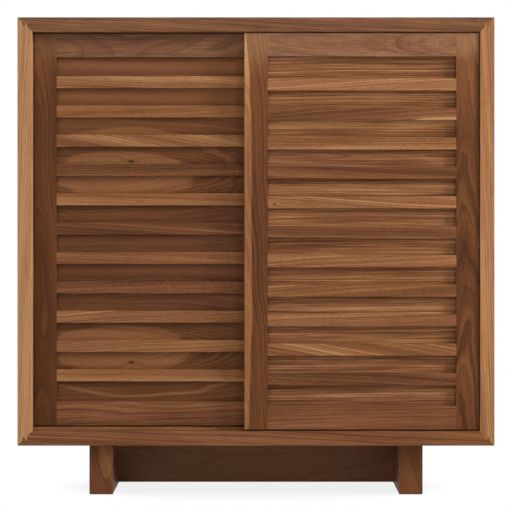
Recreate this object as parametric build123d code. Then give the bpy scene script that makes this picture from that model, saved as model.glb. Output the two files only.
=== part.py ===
from build123d import *
import os

# A walnut shoe cabinet: a lock-mitred case on a set-back base, closed by two slatted doors that roll past
# each other. Millimetres; the floor is z = 0, the front faces -Y, and x = 0 is the middle of the width.

# Case
CASE_WIDTH = 1016.0
CASE_HEIGHT = 912.4
CASE_DEPTH = 406.4
BOARD = 31.0
EDGE_EASE = 1.0
CORNER_EASE = 1.5

# Lock mitre at the case corners, set out from the middle of the board's thickness
LOCK_HALF = 5.5
LOCK_REACH = 3.8
LOCK_TIP = 2.5
LOCK_DRAFT = 1.5

# Back panel in its rabbet
BACK_THICK = 9.0
RABBET_WIDTH = 10.0
RABBET_FIT = 0.25
BACK_SCREW_SPACING = 250.0
BACK_SCREW_RADIUS = 1.75
BACK_SCREW_HEAD_RADIUS = 3.6
BACK_SCREW_HEAD = 2.2
BACK_SCREW_LENGTH = 30.0
SCREW_FIT = 0.05

# Base
BASE_HEIGHT = 110.0
LEG_THICK = 50.8
LEG_INSET = 150.6
LEG_SETBACK = 38.0
LEG_ROUND = 3.0
STRETCHER_THICK = 31.75
STRETCHER_LIFT = 11.5
STRETCHER_TENON = 20.0
STRETCHER_SHOULDER = 6.0
GLIDE_RADIUS = 12.0
GLIDE_THICK = 4.0
GLIDE_PROUD = 1.5
GLIDE_INSET = 30.0
BOLT_RADIUS = 4.0
BOLT_HEAD_RADIUS = 8.0
BOLT_HEAD = 4.0
BOLT_INSET = 60.0
BOLT_GRIP = 45.0
BOLT_CLEARANCE = 0.3

# Doors
DOOR_THICK = 22.2
DOOR_SETBACK = 5.0
LANE_GAP = 3.8
SIDE_GAP = 1.2
TOP_GAP = 2.2
BOTTOM_GAP = 3.2
MEETING_STILE = 50.0
OUTER_STILE = 48.8
TOP_RAIL = 49.4
BOTTOM_RAIL = 51.0
RAIL_TENON = 25.0
RAIL_TENON_THICK = 10.0
RAIL_SHOULDER = 6.0
JOINT_FIT = 0.15

# Door panels, let into grooves in the frames, and the slats on their fronts
PANEL_THICK = 6.35
PANEL_LIP = 3.15
PANEL_GROOVE = 8.0
SLAT_COUNT = 11
SLAT_HEIGHT = 25.6
SLAT_EASE = 0.5
SLAT_START = 94.2
SLAT_REVEAL = 47.3
SLAT_TENON = 8.0
SLAT_SHOULDER = 3.35

# Running gear
RUNNER_PROUD = 6.4
RUNNER_SUNK = 3.0
TRACK_DEPTH = 3.5
TRACK_PLAY = 0.6
WHEEL_RADIUS = 10.0
WHEEL_WIDTH = 5.0
WHEEL_LIFT = 0.3
WHEEL_PLAY = 0.5
AXLE_RADIUS = 1.5
AXLE_PLAY = 0.05
AXLE_FIT = 0.02
HOUSING_LENGTH = 44.0
HOUSING_THICK = 12.0
HOUSING_HEIGHT = 18.0
GEAR_INSET = 45.0
TONGUE_THICK = 7.4
TONGUE_REACH = 7.0
TONGUE_PLAY = 0.4
TONGUE_GROOVE = 10.5

# Inside
DIVIDER_THICK = 22.2
DIVIDER_SETBACK = 60.0
DADO_DEPTH = 6.0
SHELF_THICK = 19.0
SHELF_SETBACK = 6.0
SHELF_GAP = 1.5
SHELVES_PER_BAY = 3
PIN_RADIUS = 2.5
PIN_LENGTH = 9.0
PIN_HOLE = 10.0
PIN_FIT = 0.03
PIN_PAD = (10.0, 12.0, 4.0)
PIN_ROW_INSET = 45.0
PIN_PITCH = 32.0
PIN_HOLES_EACH_SIDE = 2

# Positions that follow from the sizes above
FRONT = -CASE_DEPTH / 2
BACK = CASE_DEPTH / 2
CASE_TOP = BASE_HEIGHT + CASE_HEIGHT
FLOOR = BASE_HEIGHT + BOARD
CEILING = CASE_TOP - BOARD
HALF_OPENING = CASE_WIDTH / 2 - BOARD
BACK_FACE = BACK - BACK_THICK
LANE_STEP = DOOR_THICK + LANE_GAP
FRONT_LANE = FRONT + DOOR_SETBACK
REAR_LANE = FRONT_LANE + LANE_STEP
RUNNER_TOP = FLOOR + RUNNER_PROUD
DOOR_TOP = CEILING - TOP_GAP
RAIL_FOOT = DOOR_TOP - TOP_RAIL
DOOR_WIDTH = HALF_OPENING - SIDE_GAP + MEETING_STILE / 2
FRONT_DOOR_LEFT = -MEETING_STILE / 2
REAR_DOOR_LEFT = SIDE_GAP - HALF_OPENING
SLAT_DEPTH = DOOR_THICK - PANEL_LIP - PANEL_THICK
FIRST_SLAT = FLOOR + BOTTOM_GAP + SLAT_START
SLAT_PITCH = (RAIL_FOOT - SLAT_REVEAL - SLAT_HEIGHT - FIRST_SLAT) / (SLAT_COUNT - 1)
DIVIDER_FRONT = FRONT + DIVIDER_SETBACK
PIN_ROWS = (DIVIDER_FRONT + PIN_ROW_INSET, BACK_FACE - PIN_ROW_INSET)
TIER = (CEILING - FLOOR - SHELVES_PER_BAY * SHELF_THICK) / (SHELVES_PER_BAY + 1)
LEG_FEET = (FRONT + LEG_SETBACK, BACK - LEG_SETBACK)
LEG_SPACING = CASE_WIDTH - 2 * LEG_INSET - LEG_THICK


def block(x, y, z):
    """A box whose x, y and z are each given as a (low, high) pair."""
    middle = [(low + high) / 2 for low, high in (x, y, z)]
    return Pos(*middle) * Box(x[1] - x[0], y[1] - y[0], z[1] - z[0])


def around(centre, half):
    """The (low, high) pair that reaches half to each side of a centre."""
    return (centre - half, centre + half)


def rod(start, axis, radius, length):
    """A cylinder that begins at a point and runs along an axis."""
    return extrude(Plane(origin=start, z_dir=axis) * Circle(radius), length)


def along_y(outline, y):
    """A bar along Y whose section is an outline of (x, z) points."""
    points = [(x, y[0], z) for x, z in outline]
    return extrude(make_face(Polyline(*points, close=True)), y[1] - y[0], dir=(0, 1, 0))


def ease_front(board, axis):
    """Ease a case board's long front edges."""
    edges = board.edges().filter_by(axis).group_by(Axis.Y)[0]
    return chamfer([edge for edge in edges if edge.length > BOARD], EDGE_EASE)


def lock_line():
    """One corner's joint line, in (across, inward) steps from the outer corner to the inner one."""
    middle = BOARD / 2
    first, last = middle - LOCK_HALF, middle + LOCK_HALF
    low, high = middle + LOCK_REACH, middle - LOCK_REACH
    return [
        (CORNER_EASE / 2, CORNER_EASE / 2),
        (first, first),
        (first + LOCK_DRAFT, low),
        (first + LOCK_DRAFT + LOCK_TIP, low),
        (last - LOCK_DRAFT - LOCK_TIP, high),
        (last - LOCK_DRAFT, high),
        (last, last),
        (BOARD, BOARD),
    ]


def flat_board(outer, inward):
    """The top or bottom board: outer is its outside height, inward +1 or -1 the way to its inside."""
    half = CASE_WIDTH / 2
    left = [(across - half, outer + inward * step) for across, step in lock_line()]
    right = [(-x, z) for x, z in reversed(left)]
    ends = [(half - CORNER_EASE, outer), (CORNER_EASE - half, outer)]
    return ease_front(along_y(left + right + ends, (FRONT, BACK)), Axis.X)


def side_board():
    """The left side; the right one is its mirror image."""
    half = CASE_WIDTH / 2
    upper = [(across - half, CASE_TOP - step) for across, step in lock_line()]
    lower = [(across - half, BASE_HEIGHT + step) for across, step in reversed(lock_line())]
    ends = [(-half, BASE_HEIGHT + CORNER_EASE), (-half, CASE_TOP - CORNER_EASE)]
    return ease_front(along_y(upper + lower + ends, (FRONT, BACK)), Axis.Z)


def back_outline(grow=0.0):
    """The back panel's x and z ranges."""
    x = around(0, HALF_OPENING + RABBET_WIDTH - RABBET_FIT + grow)
    z = (FLOOR - RABBET_WIDTH + RABBET_FIT - grow, CEILING + RABBET_WIDTH - RABBET_FIT + grow)
    return x, z


def back_pocket():
    """The space that the back panel takes out of the four case boards."""
    x, z = back_outline(RABBET_FIT)
    return block(x, (BACK_FACE, BACK + BOARD), z)


def spaced(low, high, spacing):
    """Places in the middles of equal steps from low to high, no longer than the spacing."""
    count = int((high - low) // spacing) + 1
    return [low + (high - low) * (step + 0.5) / count for step in range(count)]


def back_screw_places():
    """The (x, z) of the back panel's screws, along the middle of the rabbet."""
    edge = HALF_OPENING + RABBET_WIDTH / 2
    low, high = FLOOR - RABBET_WIDTH / 2, CEILING + RABBET_WIDTH / 2
    across = spaced(0, edge, BACK_SCREW_SPACING)
    up = spaced(low, high, BACK_SCREW_SPACING)
    half = [(x, z) for x in across for z in (low, high)] + [(edge, z) for z in up]
    return half + [(-x, z) for x, z in half]


def back_screw(place, grow=0.0):
    """A countersunk screw driven from behind, or with grow the hole for it."""
    x, z = place
    shank = rod((x, BACK, z), (0, -1, 0), BACK_SCREW_RADIUS + grow, BACK_SCREW_LENGTH + grow)
    rim = Plane(origin=(x, BACK, z), z_dir=(0, -1, 0)) * Circle(BACK_SCREW_HEAD_RADIUS + grow)
    neck = Plane(origin=(x, BACK - BACK_SCREW_HEAD, z), z_dir=(0, -1, 0)) * Circle(BACK_SCREW_RADIUS + grow)
    return shank + loft([rim.face(), neck.face()])


def shelf_undersides():
    """The height of each shelf's underside."""
    return [FLOOR + TIER * (tier + 1) + SHELF_THICK * tier for tier in range(SHELVES_PER_BAY)]


def pin_holes(face, direction):
    """Rows of shelf-pin holes going into an inner face, with spare holes above and below each shelf."""
    holes = []
    for underside in shelf_undersides():
        for step in range(-PIN_HOLES_EACH_SIDE, PIN_HOLES_EACH_SIDE + 1):
            height = underside - PIN_RADIUS + step * PIN_PITCH
            for row in PIN_ROWS:
                holes.append(rod((face, row, height), (direction, 0, 0), PIN_RADIUS + PIN_FIT, PIN_HOLE))
    return holes


def shelf_pin(face, direction, row, underside):
    """A shelf pin: a shank in the wall and a pad that the shelf lies on."""
    out, wide, thick = PIN_PAD
    shank = rod((face, row, underside - PIN_RADIUS), (direction, 0, 0), PIN_RADIUS, PIN_LENGTH)
    x = tuple(sorted((face, face - direction * out)))
    return shank + block(x, around(row, wide / 2), (underside - thick, underside))


def bay_walls(side):
    """The x of a bay's outer and divider faces; side is -1 for the left bay and 1 for the right."""
    return side * HALF_OPENING, side * DIVIDER_THICK / 2


def bolt_places():
    """The (x, y) of the bolts that hold the case to the legs."""
    rows = (LEG_FEET[0] + BOLT_INSET, LEG_FEET[1] - BOLT_INSET)
    return [(side * LEG_SPACING / 2, y) for side in (-1, 1) for y in rows]


def bolt(place, grow=0.0):
    """A bolt from the case floor down into a leg."""
    x, y = place
    head = rod((x, y, FLOOR), (0, 0, -1), BOLT_HEAD_RADIUS + grow, BOLT_HEAD)
    return head + rod((x, y, FLOOR), (0, 0, -1), BOLT_RADIUS + grow, BOARD + BOLT_GRIP)


def glide_places():
    """The (x, y) of the floor glides."""
    rows = (LEG_FEET[0] + GLIDE_INSET, LEG_FEET[1] - GLIDE_INSET)
    return [(side * LEG_SPACING / 2, y) for side in (-1, 1) for y in rows]


def glide(place, grow=0.0):
    """A round floor glide, or with grow the seat for it in the leg's foot."""
    x, y = place
    return rod((x, y, 0), (0, 0, 1), GLIDE_RADIUS + grow, GLIDE_THICK)


def stretcher_tenon(grow=0.0):
    """The bar whose two ends are the stretcher's tenons, or with grow the mortises for them."""
    half = LEG_SPACING / 2 - LEG_THICK / 2 + STRETCHER_TENON + grow
    thick = STRETCHER_THICK / 2 - STRETCHER_SHOULDER + grow
    z = (STRETCHER_LIFT + STRETCHER_SHOULDER - grow, BASE_HEIGHT - STRETCHER_SHOULDER + grow)
    return block(around(0, half), around(0, thick), z)


def leg(side):
    """A plank leg with its mortise, bolt holes and glide seats."""
    x = around(side * LEG_SPACING / 2, LEG_THICK / 2)
    plank = block(x, LEG_FEET, (GLIDE_PROUD, BASE_HEIGHT))
    plank = fillet(plank.faces().sort_by(Axis.Z)[0].edges(), LEG_ROUND)
    plank -= stretcher_tenon(JOINT_FIT)
    plank -= [bolt(place, SCREW_FIT) for place in bolt_places()]
    return plank - [glide(place, JOINT_FIT) for place in glide_places()]


def stretcher():
    """The bar between the legs."""
    half = LEG_SPACING / 2 - LEG_THICK / 2
    bar = block(around(0, half), around(0, STRETCHER_THICK / 2), (STRETCHER_LIFT, BASE_HEIGHT))
    return bar + stretcher_tenon()


def lane_middle(lane):
    """The middle of a door's thickness, from the lane's front."""
    return lane + DOOR_THICK / 2


def roller_track(lane, bed):
    """The groove that a door's wheels run in, in the bed below it."""
    half = WHEEL_WIDTH / 2 + TRACK_PLAY
    return block(around(0, HALF_OPENING), around(lane_middle(lane), half), (bed - TRACK_DEPTH, bed + BOARD))


def tongue(lane, x):
    """The tongue along the top of a door, or of one of its pieces."""
    return block(x, around(lane_middle(lane), TONGUE_THICK / 2), (DOOR_TOP, CEILING + TONGUE_REACH))


def tongue_groove(lane):
    """The groove in the top board that a door's tongue runs in."""
    half = TONGUE_THICK / 2 + TONGUE_PLAY
    return block(around(0, HALF_OPENING), around(lane_middle(lane), half), (FLOOR, CEILING + TONGUE_GROOVE))


def runner():
    """The raised strip under the rear door, with its roller track."""
    y = (REAR_LANE, REAR_LANE + DOOR_THICK)
    strip = block(around(0, HALF_OPENING - JOINT_FIT), y, (FLOOR - RUNNER_SUNK, RUNNER_TOP))
    return strip - roller_track(REAR_LANE, RUNNER_TOP)


def divider():
    """The upright between the two bays, with shelf-pin holes on both faces."""
    z = (FLOOR - DADO_DEPTH, CEILING + DADO_DEPTH - JOINT_FIT)
    upright = block(around(0, DIVIDER_THICK / 2), (DIVIDER_FRONT, BACK_FACE), z)
    return upright - pin_holes(-DIVIDER_THICK / 2, 1) - pin_holes(DIVIDER_THICK / 2, -1)


def divider_dado():
    """The housings for the divider in the top and bottom boards."""
    x = around(0, DIVIDER_THICK / 2 + JOINT_FIT)
    return block(x, (DIVIDER_FRONT - JOINT_FIT, BACK), (FLOOR - DADO_DEPTH, CEILING + DADO_DEPTH))


def shelf(side, underside):
    """One shelf of a bay."""
    outer, inner = bay_walls(side)
    low, high = sorted((outer, inner))
    y = (DIVIDER_FRONT + SHELF_SETBACK, BACK_FACE - SHELF_GAP)
    board = block((low + SHELF_GAP, high - SHELF_GAP), y, (underside, underside + SHELF_THICK))
    return chamfer(board.edges().filter_by(Axis.X).group_by(Axis.Y)[0], EDGE_EASE)


def case_pieces():
    """Every piece that stays still, by name."""
    pocket = back_pocket()
    screws = [back_screw(place) for place in back_screw_places()]
    screw_holes = [back_screw(place, SCREW_FIT) for place in back_screw_places()]
    tongue_grooves = [tongue_groove(lane) for lane in (FRONT_LANE, REAR_LANE)]
    runner_y = (REAR_LANE, REAR_LANE + DOOR_THICK)
    runner_seat = block(around(0, HALF_OPENING), runner_y, (FLOOR - RUNNER_SUNK, CEILING))

    side = side_board() - pocket
    left = side - pin_holes(-HALF_OPENING, -1) - screw_holes
    right = mirror(side, Plane.YZ) - pin_holes(HALF_OPENING, 1) - screw_holes
    top = flat_board(CASE_TOP, -1) - pocket - tongue_grooves - divider_dado() - screw_holes
    bottom = flat_board(BASE_HEIGHT, 1) - pocket - divider_dado() - screw_holes - runner_seat
    bottom -= roller_track(FRONT_LANE, FLOOR)
    bottom -= [bolt(place, BOLT_CLEARANCE) for place in bolt_places()]
    x, z = back_outline()
    back = block(x, (BACK_FACE, BACK), z) - screw_holes

    pins = []
    pieces = {
        "top_panel": top,
        "bottom_panel": bottom,
        "left_side": left,
        "right_side": right,
        "back_panel": back,
        "back_screws": Compound(children=screws),
        "center_divider": divider(),
        "rear_runner": runner(),
        "left_leg": leg(-1),
        "right_leg": leg(1),
        "stretcher": stretcher(),
        "base_bolts": Compound(children=[bolt(place) for place in bolt_places()]),
        "floor_glides": Compound(children=[glide(place) for place in glide_places()]),
    }
    for bay, side in (("left", -1), ("right", 1)):
        outer, inner = bay_walls(side)
        for number, underside in enumerate(shelf_undersides(), start=1):
            pieces[f"{bay}_shelf_{number}"] = shelf(side, underside)
            for row in PIN_ROWS:
                pins.append(shelf_pin(outer, side, row, underside))
                pins.append(shelf_pin(inner, -side, row, underside))
    pieces["shelf_pins"] = Compound(children=pins)
    return pieces


def panel(lane, x, z, grow=0.0):
    """A door's panel across the opening in its frame, or with grow the grooves for it."""
    reach = PANEL_GROOVE - JOINT_FIT + grow
    y = (lane + SLAT_DEPTH - grow, lane + SLAT_DEPTH + PANEL_THICK + grow)
    return block((x[0] - reach, x[1] + reach), y, (z[0] - reach, z[1] + reach))


def slat_tenon(lane, foot, x, grow=0.0):
    """The bar whose ends are a slat's stub tenons, or with grow the mortises for them."""
    inset = SLAT_SHOULDER - grow
    reach = (x[0] - SLAT_TENON - grow, x[1] + SLAT_TENON + grow)
    return block(reach, (lane + inset, lane + SLAT_DEPTH - inset), (foot + inset, foot + SLAT_HEIGHT - inset))


def slat(lane, foot, x):
    """A slat on the front of the panel, between two stiles, with its front edges eased."""
    bar = block(x, (lane, lane + SLAT_DEPTH), (foot, foot + SLAT_HEIGHT))
    return chamfer(bar.edges().filter_by(Axis.X).group_by(Axis.Y)[0], SLAT_EASE) + slat_tenon(lane, foot, x)


def rail_tenon(lane, z, x, grow=0.0):
    """The bar whose ends are a rail's tenons, or with grow the mortises for them."""
    y = around(lane_middle(lane), RAIL_TENON_THICK / 2 + grow)
    reach = (x[0] - RAIL_TENON - grow, x[1] + RAIL_TENON + grow)
    return block(reach, y, (z[0] - grow, z[1] + grow))


def stile(x, y, z, outer):
    """A plain stile with its outer long edges eased; outer is 0 for a left stile and -1 for a right one."""
    post = block(x, y, z)
    return chamfer(post.edges().filter_by(Axis.Z).group_by(Axis.X)[outer], EDGE_EASE)


def gear_places(x):
    """The x of a door's two rollers."""
    return (x[0] + GEAR_INSET, x[1] - GEAR_INSET)


def housing_box(lane, bottom, place, grow=0.0):
    """The body of a roller housing, or with grow the pocket for it."""
    x = around(place, HOUSING_LENGTH / 2 + grow)
    y = around(lane_middle(lane), HOUSING_THICK / 2 + grow)
    return block(x, y, (bottom, bottom + HOUSING_HEIGHT))


def wheel_height(bed):
    """The height of a wheel's axis above the bed that its track is cut in."""
    return bed - TRACK_DEPTH + WHEEL_LIFT + WHEEL_RADIUS


def wheel(lane, bed, place):
    """A roller with its bore."""
    start = (place, lane_middle(lane) - WHEEL_WIDTH / 2, wheel_height(bed))
    tyre = rod(start, (0, 1, 0), WHEEL_RADIUS, WHEEL_WIDTH)
    return tyre - rod(start, (0, 1, 0), AXLE_RADIUS + AXLE_PLAY, WHEEL_WIDTH)


def axle(lane, bed, place, grow=0.0):
    """A roller's axle across its housing, or with grow the hole for it."""
    start = (place, lane_middle(lane) - HOUSING_THICK / 2, wheel_height(bed))
    return rod(start, (0, 1, 0), AXLE_RADIUS + grow, HOUSING_THICK)


def housing(lane, bed, bottom, place):
    """A roller housing with a slot for the wheel."""
    y = around(lane_middle(lane), WHEEL_WIDTH / 2 + WHEEL_PLAY)
    top = wheel_height(bed) + WHEEL_RADIUS + WHEEL_PLAY
    slot = block(around(place, WHEEL_RADIUS + WHEEL_PLAY), y, (bottom, top))
    return housing_box(lane, bottom, place) - slot - axle(lane, bed, place, AXLE_FIT)


def door_pieces(name, left, lane, bed, stiles):
    """Every piece of one door; stiles holds the widths of its left and right stile."""
    right = left + DOOR_WIDTH
    bottom = bed + BOTTOM_GAP
    x = (left + stiles[0], right - stiles[1])
    y = (lane, lane + DOOR_THICK)
    opening = (bottom + BOTTOM_RAIL, RAIL_FOOT)
    feet = [bottom + SLAT_START + SLAT_PITCH * step for step in reversed(range(SLAT_COUNT))]
    places = gear_places(x)

    top_tenon = (opening[1] + PANEL_GROOVE + RAIL_SHOULDER, DOOR_TOP - RAIL_SHOULDER)
    bottom_tenon = (bottom + RAIL_SHOULDER, opening[0] - PANEL_GROOVE - RAIL_SHOULDER)
    groove = panel(lane, x, opening, JOINT_FIT)
    mortises = [slat_tenon(lane, foot, x, JOINT_FIT) for foot in feet]
    mortises += [rail_tenon(lane, z, x, JOINT_FIT) for z in (top_tenon, bottom_tenon)]
    pockets = [housing_box(lane, bottom, place, JOINT_FIT) for place in places]

    left_stile = stile((left, x[0]), y, (bottom, DOOR_TOP), 0) + tongue(lane, (left, x[0]))
    right_stile = stile((x[1], right), y, (bottom, DOOR_TOP), -1) + tongue(lane, (x[1], right))
    top_rail = block(x, y, (opening[1], DOOR_TOP)) + rail_tenon(lane, top_tenon, x) + tongue(lane, x)
    bottom_rail = block(x, y, (bottom, opening[0])) + rail_tenon(lane, bottom_tenon, x)

    pieces = {
        f"{name}_left_stile": left_stile - mortises - groove,
        f"{name}_right_stile": right_stile - mortises - groove,
        f"{name}_top_rail": top_rail - groove,
        f"{name}_bottom_rail": bottom_rail - pockets - groove,
        f"{name}_panel": panel(lane, x, opening),
        f"{name}_roller_housings": Compound(children=[housing(lane, bed, bottom, place) for place in places]),
        f"{name}_roller_axles": Compound(children=[axle(lane, bed, place) for place in places]),
        f"{name}_left_roller": wheel(lane, bed, places[0]),
        f"{name}_right_roller": wheel(lane, bed, places[1]),
    }
    for number, foot in enumerate(feet, start=1):
        pieces[f"{name}_slat_{number:02d}"] = slat(lane, foot, x)
    return pieces


PIECES = case_pieces()
PIECES |= door_pieces("front_door", FRONT_DOOR_LEFT, FRONT_LANE, FLOOR, (MEETING_STILE, OUTER_STILE))
PIECES |= door_pieces("rear_door", REAR_DOOR_LEFT, REAR_LANE, RUNNER_TOP, (OUTER_STILE, MEETING_STILE))

os.makedirs("parts", exist_ok=True)
for node, shape in PIECES.items():
    export_step(shape, f"parts/{node}.step")
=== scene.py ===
import math

import bpy
from mathutils import Matrix, Vector


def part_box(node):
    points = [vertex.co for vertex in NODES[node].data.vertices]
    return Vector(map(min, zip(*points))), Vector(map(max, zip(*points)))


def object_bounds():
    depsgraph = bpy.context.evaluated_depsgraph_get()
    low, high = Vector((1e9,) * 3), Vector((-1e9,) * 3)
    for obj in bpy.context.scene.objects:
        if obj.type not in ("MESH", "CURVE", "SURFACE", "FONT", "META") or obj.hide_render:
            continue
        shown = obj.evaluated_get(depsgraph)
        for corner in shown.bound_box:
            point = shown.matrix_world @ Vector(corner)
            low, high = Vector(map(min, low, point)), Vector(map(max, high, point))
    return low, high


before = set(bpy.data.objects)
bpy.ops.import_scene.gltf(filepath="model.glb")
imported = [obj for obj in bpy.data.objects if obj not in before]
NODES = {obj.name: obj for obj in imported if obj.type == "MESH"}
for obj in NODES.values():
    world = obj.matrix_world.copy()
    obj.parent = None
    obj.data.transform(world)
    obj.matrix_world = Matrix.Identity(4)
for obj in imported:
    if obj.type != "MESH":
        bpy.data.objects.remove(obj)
CAD_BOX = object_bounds()

# Camera: straight at the front from five metres, with the lens shifted down to frame the cabinet
CAMERA_DISTANCE = 5.0
CAMERA_HEIGHT = 0.61
CAMERA_LENS = 165.1
CAMERA_SHIFT = -0.088
CAMERA_REACH = 200.0
CAMERA_TILT = math.radians(90)
SENSOR_WIDTH = 36.0

# Studio light: each softbox's direction, distance, width, height and power, and an even surround
SOFTBOXES = {
    "key": (Vector((0.53, -1.0, 0.98)), 5.0, 0.8, 3.0, 49.0),
    "side": (Vector((3.65, -1.42, 1.8)), 4.3, 1.1, 1.2, 168.0),
    "fill": (Vector((-1.2, -3.5, 1.35)), 3.94, 1.6, 2.2, 31.0),
    "back": (Vector((-1.5, 3.5, 1.6)), 4.1, 2.0, 2.0, 75.0),
}
SURROUND = 0.13
WHITE = (1.0, 1.0, 1.0, 1.0)

# Floor: how much of it glows white for the camera beside the cabinet, and where that reaches all of it
FLOOR_SIZE = 60.0
FLOOR_COLOUR = (0.85, 0.85, 0.85, 1.0)
FLOOR_GLOW = 0.84
GLOW_START = 0.33
GLOW_END = 0.46
GLOW_STRETCH = (1.0, 1.6, 1.0)

# Walnut's colours in linear light, from its darkest streaks to its pale sapwood, and what tints them
WALNUT_SHADES = (
    (0.00, (0.035, 0.012, 0.005, 1.0)),
    (0.30, (0.100, 0.035, 0.013, 1.0)),
    (0.55, (0.195, 0.072, 0.028, 1.0)),
    (0.80, (0.340, 0.150, 0.062, 1.0)),
    (1.00, (0.500, 0.265, 0.125, 1.0)),
)
YELLOWER = (1.00, 1.00, 0.86, 1.0)
PINKER = (1.00, 0.98, 1.02, 1.0)
# GREYER is mixed in by a board's grey; on the door rails and stile tops it paints a sheen
GREYER = (1.00, 1.14, 1.42, 1.0)
WARMER = (1.00, 0.97, 0.85, 1.0)
HUE_RANGE = (0.3, 0.7)
GREY_FADE = 0.03

# Noises: the features to the metre along each axis, the detail and the roughness
NOISES = {
    "sway": ((3.0, 8.0, 8.0), 1.0, 0.5),
    "ripple": ((14.0, 60.0, 60.0), 2.0, 0.5),
    "broad": ((48.0, 1.0, 1.0), 1.0, 0.5),
    "fine": ((230.0, 1.0, 1.0), 2.0, 0.6),
    "fibre": ((4.0, 380.0, 380.0), 3.0, 0.6),
    "streak": ((10.0, 540.0, 540.0), 1.0, 0.5),
    "fleck": ((120.0, 420.0, 420.0), 2.0, 0.7),
    "cloud": ((2.5, 16.0, 16.0), 2.0, 0.5),
    "border": ((7.0, 40.0, 1.0), 2.0, 0.5),
    "hue": ((1.6, 11.0, 11.0), 1.0, 0.5),
    "pores": ((45.0, 1300.0, 1300.0), 1.0, 0.5),
    "speckle": ((900.0, 900.0, 900.0), 3.0, 0.5),
}
MIDDLE = 0.5
CENTRE = (MIDDLE, MIDDLE, MIDDLE)

# Growth rings: their width, how steeply each darkens to its line, the mean of that, and how far they wander
RING_WIDTH = 0.0045
RING_POWER = 3.0
RING_MIDDLE = 1 / (RING_POWER + 1)
SWAY = (0.0, 0.045, 0.045)
RIPPLE = (0.0, 0.0030, 0.0030)

# How much each part of the figure lightens or darkens the wood
BROAD_AMOUNT = 0.70
FINE_AMOUNT = 0.85
RING_AMOUNT = -0.20
FIBRE_AMOUNT = 0.50
STREAK_AMOUNT = 0.45
CLOUD_AMOUNT = 0.40

# Staves: what picks their random draw, how far apart in the tree they are cut, and how their shades differ
STAVE_DRAW = 0.37
STAVE_JUMP = (7.0, 0.05, 0.07)
STAVE_SHADE = 0.07

# How far along the tree a board lies from the board whose seed is one less
SEED_STEP = 1.37

# Knots: how much distance along the grain counts, how far they reach in knot sizes, and how strong they are
KNOT_ALONG = 0.55
KNOT_SWELL = (0.6, 5.0)
KNOT_PUSH = 2.2
KNOT_HEART = (0.45, 1.15)
KNOT_DARKNESS = 0.38

# Sapwood and painted sheen: patches to a board, a band's half length, soft and wavy borders, and how they
# quiet the figure
SAP_AND_SHEEN_PATCHES = 8
BAND_LENGTH = 2.0
SHARP = 0.02
CRISP = 0.06
GENTLE = 0.50
PATCH_WAVER = 0.5
QUIET_LIFT = 0.27
QUIET_CONTRAST = 0.5

# Pores and the surface: where pores lie in the noise and in a ring, and how they and the fibres roughen it
PORE_COLOUR = (0.030, 0.012, 0.006, 1.0)
PORE_RANGE = (0.57, 0.70)
PORE_RINGS = (0.15, 0.75, 1.0, 0.35)
PORE_DARKNESS = 0.50
PORE_ROUGHNESS = 0.18
FIBRE_ROUGHNESS = (0.2, 0.8, -0.05, 0.05)
FIBRE_HEIGHT = 0.35
WALNUT_ROUGHNESS = 0.52
WALNUT_SPECULAR = 0.11
WALNUT_BUMP = (0.25, 0.0003)

# What a board has when nothing else is said of it
ONE_STAVE = 9.0
UNFOLDED = -9.0
ALL_ALONG = -9.0
NO_KNOT = (9.0, 9.0, 0.001)

# Small parts: their materials, how much darker speckles are, and the strength and depth of the unevenness
NYLON = dict(colour=(0.030, 0.028, 0.026), roughness=0.50, metallic=0.0)
HOUSING_PLASTIC = dict(colour=(0.045, 0.042, 0.040), roughness=0.55, metallic=0.0)
ZINC_STEEL = dict(colour=(0.56, 0.55, 0.53), roughness=0.34, metallic=1.0)
SPECKLE_SHADE = 0.82
SPECKLE_BUMP = (0.15, 0.0002)

# Sockets of a mix node that mixes colours
MIX_FIRST = 6
MIX_SECOND = 7
MIX_RESULT = 2


class Nodes:
    """Short calls for building a node tree."""

    def __init__(self, tree):
        self.tree = tree

    def add(self, kind, inputs=None, **settings):
        """A node with its settings made and its inputs set or linked."""
        node = self.tree.nodes.new(kind)
        for name, value in settings.items():
            setattr(node, name, value)
        for name, value in (inputs or {}).items():
            self.feed(node.inputs[name], value)
        return node

    def feed(self, socket, value):
        """Link an output to a socket, or set the socket's own value."""
        if isinstance(value, bpy.types.NodeSocket):
            self.tree.links.new(value, socket)
        else:
            socket.default_value = value

    def math(self, operation, *values):
        node = self.add("ShaderNodeMath", dict(enumerate(values)), operation=operation)
        return node.outputs[0]

    def vector(self, operation, *values):
        node = self.add("ShaderNodeVectorMath", dict(enumerate(values)), operation=operation)
        return node.outputs["Value" if operation == "LENGTH" else "Vector"]

    def split(self, vector):
        return self.add("ShaderNodeSeparateXYZ", {0: vector}).outputs

    def join(self, x, y, z):
        return self.add("ShaderNodeCombineXYZ", {0: x, 1: y, 2: z}).outputs[0]

    def noise(self, place, name, output="Fac"):
        """One of the noises, at a place in metres."""
        stretch, detail, roughness = NOISES[name]
        scaled = self.vector("MULTIPLY", place, stretch)
        inputs = {"Vector": scaled, "Scale": 1.0, "Detail": detail, "Roughness": roughness}
        return self.add("ShaderNodeTexNoise", inputs).outputs[output]

    def shift(self, chance, amount):
        """A random colour as a shift to either side, by up to half the amount along each axis."""
        return self.vector("MULTIPLY", self.vector("SUBTRACT", chance, CENTRE), amount)

    def fit(self, value, low, high, to_low=0.0, to_high=1.0, smooth=True):
        """A value carried from one range to another, held at the ends."""
        kind = "SMOOTHSTEP" if smooth else "LINEAR"
        inputs = {"Value": value, "From Min": low, "From Max": high, "To Min": to_low, "To Max": to_high}
        return self.add("ShaderNodeMapRange", inputs, interpolation_type=kind).outputs[0]

    def mix(self, factor, first, second, blend="MIX"):
        inputs = {"Factor": factor, MIX_FIRST: first, MIX_SECOND: second}
        node = self.add("ShaderNodeMix", inputs, data_type="RGBA", blend_type=blend)
        return node.outputs[MIX_RESULT]

    def bump(self, height, strength, distance):
        inputs = {"Height": height, "Strength": strength, "Distance": distance}
        return self.add("ShaderNodeBump", inputs).outputs["Normal"]


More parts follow.
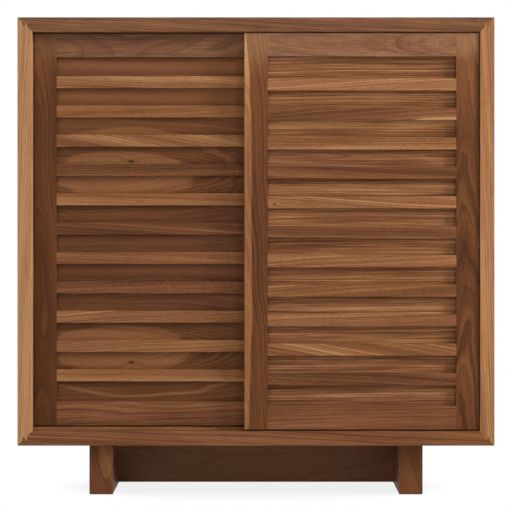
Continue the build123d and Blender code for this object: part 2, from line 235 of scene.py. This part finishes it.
# Materials
def new_material(name):
    """An empty node material and the calls that fill it."""
    material = bpy.data.materials.new(name)
    material.use_nodes = True
    material.node_tree.nodes.clear()
    return material, Nodes(material.node_tree)


def surface(n, inputs):
    """A material's surface, with its inputs set or linked."""
    shader = n.add("ShaderNodeBsdfPrincipled", inputs)
    n.add("ShaderNodeOutputMaterial", {"Surface": shader.outputs["BSDF"]})


def wear(node, material):
    """Put one material on a CAD node."""
    slots = NODES[node].data.materials
    slots.clear()
    slots.append(material)


# Walnut: the parts of its node group, for a board whose x runs with the grain and y out of its face
WALNUT_INPUTS = {
    "Board": "Vector", "Pith": "Vector", "Lean": "Vector", "Stave": "Float", "Fold": "Float", "Seed": "Float",
    "Shade": "Float", "Grey": "Float", "Grey From": "Float", "Tint": "Color", "Contrast": "Float",
    "Fibre": "Float", "Fleck": "Float", "Wander": "Float", "Knot": "Vector",
}
WALNUT_OUTPUTS = {"Color": "Color", "Roughness": "Float", "Height": "Float"}


def walnut_sockets(tree):
    """The group's inputs, with a centre and a size for each patch of sapwood and of painted sheen, and its
    outputs.
    """
    inputs = dict(WALNUT_INPUTS)
    for number in range(SAP_AND_SHEEN_PATCHES):
        inputs[f"Sap {number} Centre"] = "Vector"
        inputs[f"Sap {number} Size"] = "Vector"
    for name, kind in inputs.items():
        tree.interface.new_socket(name, socket_type=f"NodeSocket{kind}", in_out="INPUT")
    for name, kind in WALNUT_OUTPUTS.items():
        tree.interface.new_socket(name, socket_type=f"NodeSocket{kind}", in_out="OUTPUT")


def book_match(n, given, across):
    """The place across the board, mirrored at the fold."""
    beyond = n.math("ABSOLUTE", n.math("SUBTRACT", across, given["Fold"]))
    return n.math("ADD", beyond, given["Fold"])


def tree_place(n, given, along, out, across):
    """The place in the tree, where each glued-up stave has its own, and the stave's own change of shade."""
    index = n.math("FLOOR", n.math("ADD", n.math("DIVIDE", across, given["Stave"]), MIDDLE))
    label = n.join(index, given["Seed"], STAVE_DRAW)
    chance = n.add("ShaderNodeTexWhiteNoise", {"Vector": label}, noise_dimensions="3D").outputs
    moved = n.math("MINIMUM", n.math("ABSOLUTE", index), 1.0)
    jump = n.vector("MULTIPLY", n.shift(chance["Color"], STAVE_JUMP), n.join(moved, moved, moved))
    local = n.math("SUBTRACT", across, n.math("MULTIPLY", index, given["Stave"]))
    start = n.vector("ADD", n.join(along, out, local), n.vector("ADD", given["Pith"], jump))
    drift = n.vector("MULTIPLY", n.join(0.0, along, along), given["Lean"])
    own = n.fit(chance["Value"], 0.0, 1.0, -STAVE_SHADE, STAVE_SHADE, smooth=False)
    return n.vector("ADD", start, drift), n.math("MULTIPLY", moved, own)


def knot_marks(n, given, along, across):
    """How far the knot swells the rings round it, and its dark heart."""
    knot_along, knot_across, size = n.split(given["Knot"])
    offset_along = n.math("MULTIPLY", n.math("SUBTRACT", along, knot_along), KNOT_ALONG)
    offset = n.join(offset_along, n.math("SUBTRACT", across, knot_across), 0.0)
    reach = n.math("DIVIDE", n.vector("LENGTH", offset), size)
    swell = n.math("MULTIPLY", n.fit(reach, *KNOT_SWELL, 1.0, 0.0), n.math("MULTIPLY", size, KNOT_PUSH))
    return swell, n.fit(reach, *KNOT_HEART, 1.0, 0.0)


def ring_radius(n, given, place, swell):
    """The distance from the pith, with rings that wander along the tree."""
    sway = n.shift(n.noise(place, "sway", "Color"), SWAY)
    ripple = n.shift(n.noise(place, "ripple", "Color"), RIPPLE)
    inputs = {0: n.vector("ADD", sway, ripple), "Scale": given["Wander"]}
    wander = n.add("ShaderNodeVectorMath", inputs, operation="SCALE").outputs["Vector"]
    _, down, side = n.split(n.vector("ADD", place, wander))
    return n.math("ADD", n.vector("LENGTH", n.join(0.0, down, side)), swell)


def ring_figure(n, given, place, radius, phase, fibre):
    """Bands and lines that follow the rings, and fibres, streaks, flecks and clouds along the grain."""
    ring_place = n.join(radius, given["Seed"], 0.0)
    parts = (
        (n.noise(ring_place, "broad"), MIDDLE, BROAD_AMOUNT),
        (n.noise(ring_place, "fine"), MIDDLE, FINE_AMOUNT),
        (n.math("POWER", phase, RING_POWER), RING_MIDDLE, RING_AMOUNT),
        (fibre, MIDDLE, n.math("MULTIPLY", given["Fibre"], FIBRE_AMOUNT)),
        (n.noise(place, "streak"), MIDDLE, n.math("MULTIPLY", given["Fibre"], STREAK_AMOUNT)),
        (n.noise(place, "fleck"), MIDDLE, given["Fleck"]),
        (n.noise(place, "cloud"), MIDDLE, CLOUD_AMOUNT),
    )
    figure = 0.0
    for part, middle, amount in parts:
        figure = n.math("ADD", figure, n.math("MULTIPLY", n.math("SUBTRACT", part, middle), amount))
    return figure


def sap_and_sheen_lift(n, given, along, across):
    """How much lighter the patches and stripes of sapwood and the patches of painted sheen are, wavy where
    their borders aren't sharp.
    """
    border = n.noise(n.join(along, across, given["Seed"]), "border")
    waver = n.math("MULTIPLY", n.math("SUBTRACT", border, MIDDLE), PATCH_WAVER)
    total = 0.0
    for number in range(SAP_AND_SHEEN_PATCHES):
        patch_along, patch_across, fade = n.split(given[f"Sap {number} Centre"])
        length, width, lift = n.split(given[f"Sap {number} Size"])
        offset = n.join(n.math("DIVIDE", n.math("SUBTRACT", along, patch_along), length),
                        n.math("DIVIDE", n.math("SUBTRACT", across, patch_across), width), 0.0)
        own_waver = n.math("MULTIPLY", waver, n.fit(fade, 0.0, CRISP, smooth=False))
        reach = n.math("ADD", n.vector("LENGTH", offset), own_waver)
        inside = n.fit(reach, n.math("SUBTRACT", 1.0, fade), n.math("ADD", 1.0, fade), 1.0, 0.0)
        total = n.math("ADD", total, n.math("MULTIPLY", inside, lift))
    return total


def wood_colour(n, given, along, place, shade):
    """The walnut colour of a shade, with yellower and pinker wood, and greyer where a board's grey says so,
    which on the door rails and stile tops is a painted sheen.
    """
    ramp = n.add("ShaderNodeValToRGB", {"Fac": shade})
    stops = ramp.color_ramp.elements
    stops.remove(stops[1])
    stops[0].position, stops[0].color = WALNUT_SHADES[0]
    for position, colour in WALNUT_SHADES[1:]:
        stops.new(position).color = colour
    hue = n.mix(n.fit(n.noise(place, "hue"), *HUE_RANGE), YELLOWER, PINKER)
    past = n.math("SUBTRACT", along, given["Grey From"])
    grey = n.math("MULTIPLY", given["Grey"], n.fit(past, -GREY_FADE, GREY_FADE))
    tint = n.mix(1.0, n.mix(grey, hue, GREYER), given["Tint"], "MULTIPLY")
    return n.mix(1.0, ramp.outputs["Color"], tint, "MULTIPLY")


def walnut_group():
    """Solid walnut, with growth rings about a pith line."""
    tree = bpy.data.node_groups.new("walnut", "ShaderNodeTree")
    walnut_sockets(tree)
    n = Nodes(tree)
    given = n.add("NodeGroupInput").outputs
    along, out, across = n.split(given["Board"])
    matched = book_match(n, given, across)
    place, stave_shade = tree_place(n, given, along, out, matched)
    swell, heart = knot_marks(n, given, along, matched)
    radius = ring_radius(n, given, place, swell)
    phase = n.math("FRACT", n.math("DIVIDE", radius, RING_WIDTH))
    fibre = n.noise(place, "fibre")
    figure = ring_figure(n, given, place, radius, phase, fibre)
    lift = sap_and_sheen_lift(n, given, along, across)

    # The board, its staves, its sapwood and its knot set the shade, and the figure varies it
    shade = n.math("ADD", given["Shade"], stave_shade)
    shade = n.math("ADD", shade, lift)
    shade = n.math("SUBTRACT", shade, n.math("MULTIPLY", heart, KNOT_DARKNESS))
    contrast = n.math("MULTIPLY", given["Contrast"], n.fit(lift, 0.0, QUIET_LIFT, 1.0, QUIET_CONTRAST))
    shade = n.math("ADD", shade, n.math("MULTIPLY", figure, contrast))

    # Pores are short dark dashes, rough and sunk
    pore = n.math("MULTIPLY", n.fit(n.noise(place, "pores"), *PORE_RANGE), n.fit(phase, *PORE_RINGS))
    clean = wood_colour(n, given, along, place, shade)
    colour = n.mix(n.math("MULTIPLY", pore, PORE_DARKNESS), clean, PORE_COLOUR)
    rough = n.math("ADD", n.fit(fibre, *FIBRE_ROUGHNESS), WALNUT_ROUGHNESS)
    rough = n.math("ADD", rough, n.math("MULTIPLY", pore, PORE_ROUGHNESS))
    height = n.math("SUBTRACT", n.math("MULTIPLY", fibre, FIBRE_HEIGHT), pore)
    n.add("NodeGroupOutput", {"Color": colour, "Roughness": rough, "Height": height})
    return tree


WALNUT = walnut_group()
AXES = {
    "X": Vector((1, 0, 0)),
    "Y": Vector((0, 1, 0)),
    "Z": Vector((0, 0, 1)),
    "-X": Vector((-1, 0, 0)),
    "-Y": Vector((0, -1, 0)),
}

# Ways of sawing: the pith's place and lean, the rings' wander, and the strength of figure, fibre and fleck
FLAT = dict(pith=(0.075, 0.0), lean=(0.045, 0.010), wander=1.0, contrast=1.0, fibre=1.0, fleck=0.0)
RIFT = dict(pith=(0.060, 0.140), lean=(0.010, 0.020), wander=0.35, contrast=1.0, fibre=1.0, fleck=0.0)
STRAIGHT = dict(pith=(0.020, 0.160), lean=(0.0, 0.006), wander=0.15, contrast=1.1, fibre=1.0, fleck=0.0)


def patch(along, across, length, width, lift, fade=GENTLE):
    """A lighter patch, of sapwood or, on the stile tops, of painted sheen: its middle, its half length and
    half width, its lift in shade and its border.
    """
    return (along, across, fade), (length, width, lift)


def band(across, width, lift, fade=GENTLE):
    """A stripe of sapwood along the whole board."""
    return patch(0.0, across, BAND_LENGTH, width, lift, fade)


def bow(along, across, length, width, depth, lift):
    """A curved band: a patch less a smaller one that leaves the depth free at one side of it."""
    inner_across = across - depth / 2
    inner_width = width - abs(depth) / 2
    return (patch(along, across, length, width, lift, SHARP),
            patch(along, inner_across, length, inner_width, -lift, SHARP))


NO_SAP_OR_SHEEN = patch(0.0, 0.0, length=1.0, width=1.0, lift=0.0)


def board_place(n, node, grain, face):
    """The place on a board, from its middle: x along the grain and y out of the show face."""
    low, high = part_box(node)
    grain_axis = AXES[grain]
    face_axis = AXES[face]
    turn = Matrix((grain_axis, face_axis, grain_axis.cross(face_axis)))
    inputs = {
        "Vector": n.add("ShaderNodeTexCoord").outputs["Object"],
        "Location": -(turn @ ((low + high) / 2)),
        "Rotation": turn.to_euler("XYZ"),
    }
    return n.add("ShaderNodeMapping", inputs).outputs["Vector"]


def walnut(node, grain, face, cut, shade, seed, grey=0.0, grey_from=ALL_ALONG, tint=WHITE, stave=ONE_STAVE,
           fold=UNFOLDED, sap_and_sheen=(), knot=NO_KNOT, **changes):
    """Give a CAD board its own piece of walnut.

    grain and face name the board's axes along the grain and out of its show face. cut is how it was sawn,
    and changes are made to it by name. shade is how light it is, seed picks its place in the tree, and tint
    is its hue. grey is how grey it is, from grey_from on along the grain; on the door rails and stile tops
    that grey is a painted sheen. stave is the width of the strips it is glued up from, fold is where its
    figure is mirrored, its patches lighten it as sapwood and, on the stile tops, as painted sheen, and knot
    is a knot's place along and across the board and its size.
    """
    cut = {**cut, **changes}
    material, n = new_material(f"walnut_{node}")
    inputs = {
        "Board": board_place(n, node, grain, face),
        "Pith": (seed * SEED_STEP, *cut["pith"]),
        "Lean": (0.0, *cut["lean"]),
        "Wander": cut["wander"],
        "Contrast": cut["contrast"],
        "Fibre": cut["fibre"],
        "Fleck": cut["fleck"],
        "Shade": shade,
        "Seed": seed,
        "Grey": grey,
        "Grey From": grey_from,
        "Tint": tint,
        "Stave": stave,
        "Fold": fold,
        "Knot": knot,
    }
    for number in range(SAP_AND_SHEEN_PATCHES):
        centre, size = sap_and_sheen[number] if number < len(sap_and_sheen) else NO_SAP_OR_SHEEN
        inputs[f"Sap {number} Centre"] = centre
        inputs[f"Sap {number} Size"] = size
    wood = n.add("ShaderNodeGroup", inputs, node_tree=WALNUT).outputs
    surface(n, {
        "Base Color": wood["Color"],
        "Roughness": wood["Roughness"],
        "Normal": n.bump(wood["Height"], *WALNUT_BUMP),
        "Specular IOR Level": WALNUT_SPECULAR,
    })
    wear(node, material)


# Case boards: glued up from staves, the sides with pale sapwood along their front edges
STAVE = 0.102
BACK_STAVE = 2.4 * STAVE
CASE_GRAIN = dict(stave=STAVE, wander=0.4)
FRONT_EDGE = (CAD_BOX[1][1] - CAD_BOX[0][1]) / 2
SAP_EDGE = dict(width=0.022, lift=0.27, fade=CRISP)
SHELVES = 3
SHELF_SEEDS = {"left": 10.0, "right": 20.0}
walnut("top_panel", "X", "Z", FLAT, shade=0.54, seed=1.0, grey=0.8, **CASE_GRAIN)
walnut("bottom_panel", "X", "Z", FLAT, shade=0.51, seed=2.0, contrast=0.8, **CASE_GRAIN)
# The left side is painted lighter than the right, standing in for the side light that falls off towards the
# left
walnut("left_side", "Z", "-X", FLAT, shade=0.72, seed=3.0, contrast=1.2, **CASE_GRAIN,
       sap_and_sheen=(band(FRONT_EDGE, **SAP_EDGE),))
walnut("right_side", "Z", "X", FLAT, shade=0.51, seed=4.0, contrast=1.2, **CASE_GRAIN,
       sap_and_sheen=(band(-FRONT_EDGE, **SAP_EDGE),))
walnut("back_panel", "Z", "Y", FLAT, shade=0.52, seed=5.0, stave=BACK_STAVE)
walnut("center_divider", "Z", "X", FLAT, shade=0.52, seed=6.0, stave=STAVE)
walnut("rear_runner", "X", "-Y", STRAIGHT, shade=0.62, seed=7.0)
for side, base in SHELF_SEEDS.items():
    for number in range(1, SHELVES + 1):
        walnut(f"{side}_shelf_{number}", "X", "Z", FLAT, shade=0.54, seed=base + number, stave=STAVE)

# Base
walnut("left_leg", "Z", "-Y", RIFT, shade=0.45, seed=30.0, lean=(0.0, 0.35), contrast=0.6, fibre=0.3,
       sap_and_sheen=(patch(0.032, 0.010, 0.050, 0.015, 0.18, CRISP),))
walnut("right_leg", "Z", "-Y", RIFT, shade=0.42, seed=31.0, lean=(0.0, 0.30), contrast=0.5, fibre=0.3)
walnut("stretcher", "X", "-Y", FLAT, shade=0.62, seed=32.0, grey=0.9, contrast=0.3, fibre=0.4)

# Door stiles: dark and warm, with a painted sheen that makes them lighter and greyer towards the top, the
# meeting one with a pale stripe
# The patches at STILE_TOP and the grey from 0.365 along are that painted sheen of light on the stile tops
STILE_TOP = 0.43
STILE_TINT_AND_SHEEN = dict(tint=WARMER, grey=1.0, grey_from=0.365)
walnut("front_door_left_stile", "Z", "-Y", FLAT, shade=0.33, seed=40.0, **STILE_TINT_AND_SHEEN,
       pith=(0.04, 0.03), lean=(0.05, 0.02), contrast=0.9, fibre=0.5,
       sap_and_sheen=(patch(-0.05, -0.029, 0.49, 0.021, 0.39, CRISP),
            patch(STILE_TOP, 0.0, 0.250, 0.080, 0.14),
            patch(STILE_TOP, 0.0, 0.090, 0.060, 0.19),
            patch(STILE_TOP, 0.0, 0.060, 0.080, 0.05)))
# Its wide pale patch at the top is sapwood, and the small one at STILE_TOP is painted sheen
walnut("front_door_right_stile", "Z", "-Y", FLAT, shade=0.335, seed=41.0, **STILE_TINT_AND_SHEEN,
       lean=(0.05, 0.01), wander=1.3, fibre=0.5,
       sap_and_sheen=(patch(0.42, -0.010, 0.155, 0.050, 0.19),
            patch(STILE_TOP, 0.0, 0.058, 0.080, 0.18)))
walnut("rear_door_left_stile", "Z", "-Y", FLAT, shade=0.325, seed=78.0, **STILE_TINT_AND_SHEEN,
       pith=(0.03, 0.01), lean=(0.03, 0.010), wander=1.1, contrast=0.7, fibre=0.4,
       sap_and_sheen=(patch(STILE_TOP, 0.0, 0.130, 0.040, 0.11),
            patch(STILE_TOP, 0.0, 0.060, 0.080, 0.14)))
walnut("rear_door_right_stile", "Z", "-Y", FLAT, shade=0.45, seed=71.0)

# Door rails: the top rails greyed by a painted sheen
walnut("front_door_top_rail", "X", "-Y", FLAT, shade=0.61, seed=42.0, grey=0.9,
       pith=(0.045, 0.0), lean=(-0.05, 0.0), wander=0.6, contrast=0.65)
walnut("front_door_bottom_rail", "X", "-Y", RIFT, shade=0.51, seed=43.0, lean=(0.0, 0.03), contrast=0.75)
walnut("rear_door_top_rail", "X", "-Y", FLAT, shade=0.525, seed=72.0, grey=0.9,
       lean=(0.02, 0.03), contrast=0.7)
walnut("rear_door_bottom_rail", "X", "-Y", FLAT, shade=0.49, seed=73.0,
       pith=(0.05, 0.04), lean=(0.02, 0.02), contrast=0.8)

# Door panels: straight grain on the front door, and book-matched flames with knots and bows on the rear one
walnut("front_door_panel", "X", "-Y", STRAIGHT, shade=0.61, seed=94.0, wander=0.3, fibre=1.5,
       sap_and_sheen=(band(-0.200, 0.200, 0.045),
            band(-0.230, 0.012, 0.07, CRISP),
            band(-0.153, 0.014, 0.035),
            band(0.098, 0.014, -0.045),
            band(0.036, 0.014, 0.03),
            band(0.325, 0.045, -0.035)))
walnut("rear_door_panel", "X", "-Y", FLAT, shade=0.42, seed=91.0, fold=0.070, knot=(-0.042, 0.286, 0.0043),
       pith=(0.022, -0.257), lean=(0.19, 0.0), wander=0.5, contrast=0.75, fibre=0.4,
       sap_and_sheen=(patch(-0.072, 0.257, 0.152, 0.053, 0.205, CRISP),
            patch(-0.066, -0.117, 0.155, 0.053, 0.22, CRISP),
            *bow(-0.050, -0.117, 0.235, 0.101, -0.022, 0.17),
            *bow(-0.022, 0.257, 0.270, 0.105, 0.008, 0.21),
            band(-0.320, 0.100, 0.13),
            band(0.035, 0.014, 0.05)))

# Slats: the shade of each from the top down, as a letter, and marks of their own on a few
SHADES = {"d": 0.42, "m": 0.50, "M": 0.57, "l": 0.64, "L": 0.70, "P": 0.80}
SLATS = {"front_door": ("PmLmLdLMlld", 44.0), "rear_door": ("LLLdLdMdllL", 74.0)}
SLAT_LEAN = 0.07
SLAT_FLECK = 0.30
SLAT_GRAIN = dict(wander=0.35, contrast=1.05, fibre=0.5)
DIAGONAL = dict(lean=(0.0, -0.18), contrast=1.2, fleck=0.0)
SLAT_MARKS = {
    "front_door_slat_02": dict(sap_and_sheen=(patch(0.215, 0.0140, 0.118, 0.0080, 0.42, CRISP),)),
    "front_door_slat_05": dict(knot=(-0.187, 0.004, 0.0024)),
    "front_door_slat_10": DIAGONAL,
    "rear_door_slat_03": DIAGONAL,
}
for door, (letters, base) in SLATS.items():
    for number, letter in enumerate(letters, start=1):
        slat = f"{door}_slat_{number:02d}"
        lean = SLAT_LEAN * math.sin(base + number)
        fleck = SLAT_FLECK * (1 + math.sin(base * number))
        look = dict(lean=(0.0, lean), fleck=fleck, **SLAT_GRAIN)
        look.update(SLAT_MARKS.get(slat, {}))
        walnut(slat, "X", "-Y", STRAIGHT, shade=SHADES[letter], seed=base + number, **look)


# Small parts
def plain(name, nodes, colour, roughness, metallic):
    """A small-part material with a faint unevenness."""
    material, n = new_material(name)
    speckle = n.noise(n.add("ShaderNodeTexCoord").outputs["Object"], "speckle")
    darker = tuple(SPECKLE_SHADE * part for part in colour)
    surface(n, {
        "Base Color": n.mix(speckle, (*darker, 1.0), (*colour, 1.0)),
        "Roughness": roughness,
        "Metallic": metallic,
        "Normal": n.bump(speckle, *SPECKLE_BUMP),
    })
    for node in nodes:
        wear(node, material)


DOORS = ("front_door", "rear_door")
ROLLERS = [f"{door}_{side}_roller" for door in DOORS for side in ("left", "right")]
HOUSINGS = [f"{door}_roller_housings" for door in DOORS]
AXLES = [f"{door}_roller_axles" for door in DOORS]
plain("nylon", ["floor_glides", *ROLLERS], **NYLON)
plain("housing_plastic", HOUSINGS, **HOUSING_PLASTIC)
plain("zinc_steel", ["back_screws", "base_bolts", "shelf_pins", *AXLES], **ZINC_STEEL)


# Studio
def camera():
    """The photograph's straight front view."""
    data = bpy.data.cameras.new("camera")
    data.sensor_width = SENSOR_WIDTH
    data.lens = CAMERA_LENS
    data.shift_y = CAMERA_SHIFT
    data.clip_end = CAMERA_REACH
    eye = bpy.data.objects.new("camera", data)
    eye.location = (0.0, CAD_BOX[0][1] - CAMERA_DISTANCE, CAMERA_HEIGHT)
    eye.rotation_euler = (CAMERA_TILT, 0.0, 0.0)
    bpy.context.scene.collection.objects.link(eye)
    bpy.context.scene.camera = eye


def softbox(name, direction, distance, width, height, power):
    """An area light aimed at the middle of the front."""
    data = bpy.data.lights.new(name, "AREA")
    data.shape = "RECTANGLE"
    data.size = width
    data.size_y = height
    data.energy = power
    lamp = bpy.data.objects.new(name, data)
    target = Vector((0.0, CAD_BOX[0][1], (CAD_BOX[0][2] + CAD_BOX[1][2]) / 2))
    lamp.location = target + direction.normalized() * distance
    lamp.rotation_euler = direction.to_track_quat("Z", "Y").to_euler()
    bpy.context.scene.collection.objects.link(lamp)


def as_background(n):
    """One where it is seen, straight, in gloss or through glass, and nought where it only gives light."""
    path = n.add("ShaderNodeLightPath").outputs
    indirect = n.math("MAXIMUM", path["Is Glossy Ray"], path["Is Transmission Ray"])
    return n.math("MAXIMUM", path["Is Camera Ray"], indirect)


def surround():
    """An even grey surround that the camera sees as white."""
    world = bpy.data.worlds.new("studio")
    bpy.context.scene.world = world
    world.use_nodes = True
    world.node_tree.nodes.clear()
    n = Nodes(world.node_tree)
    light = n.fit(as_background(n), 0.0, 1.0, SURROUND, 1.0, smooth=False)
    sky = n.add("ShaderNodeBackground", {"Color": WHITE, "Strength": light})
    n.add("ShaderNodeOutputWorld", {"Surface": sky.outputs["Background"]})


def studio_floor():
    """A pale floor, lifted to white for the camera, that keeps the cabinet's shadow."""
    half = FLOOR_SIZE / 2
    corners = [(-half, -half, 0), (half, -half, 0), (half, half, 0), (-half, half, 0)]
    mesh = bpy.data.meshes.new("studio_floor")
    mesh.from_pydata(corners, [], [(0, 1, 2, 3)])
    ground = bpy.data.objects.new("studio_floor", mesh)
    bpy.context.scene.collection.objects.link(ground)
    material, n = new_material("studio_floor")
    place = n.add("ShaderNodeTexCoord").outputs["Object"]
    reach = n.vector("LENGTH", n.vector("MULTIPLY", place, GLOW_STRETCH))
    share = n.math("MULTIPLY", as_background(n), n.fit(reach, GLOW_START, GLOW_END, FLOOR_GLOW, 1.0))
    matt = n.add("ShaderNodeBsdfDiffuse", {"Color": FLOOR_COLOUR})
    glow = n.add("ShaderNodeEmission")
    both = n.add("ShaderNodeMixShader", {0: share, 1: matt.outputs["BSDF"], 2: glow.outputs["Emission"]})
    n.add("ShaderNodeOutputMaterial", {"Surface": both.outputs["Shader"]})
    mesh.materials.append(material)


camera()
for lamp_name, settings in SOFTBOXES.items():
    softbox(lamp_name, *settings)
surround()
studio_floor()
bpy.context.scene.view_settings.view_transform = "Standard"
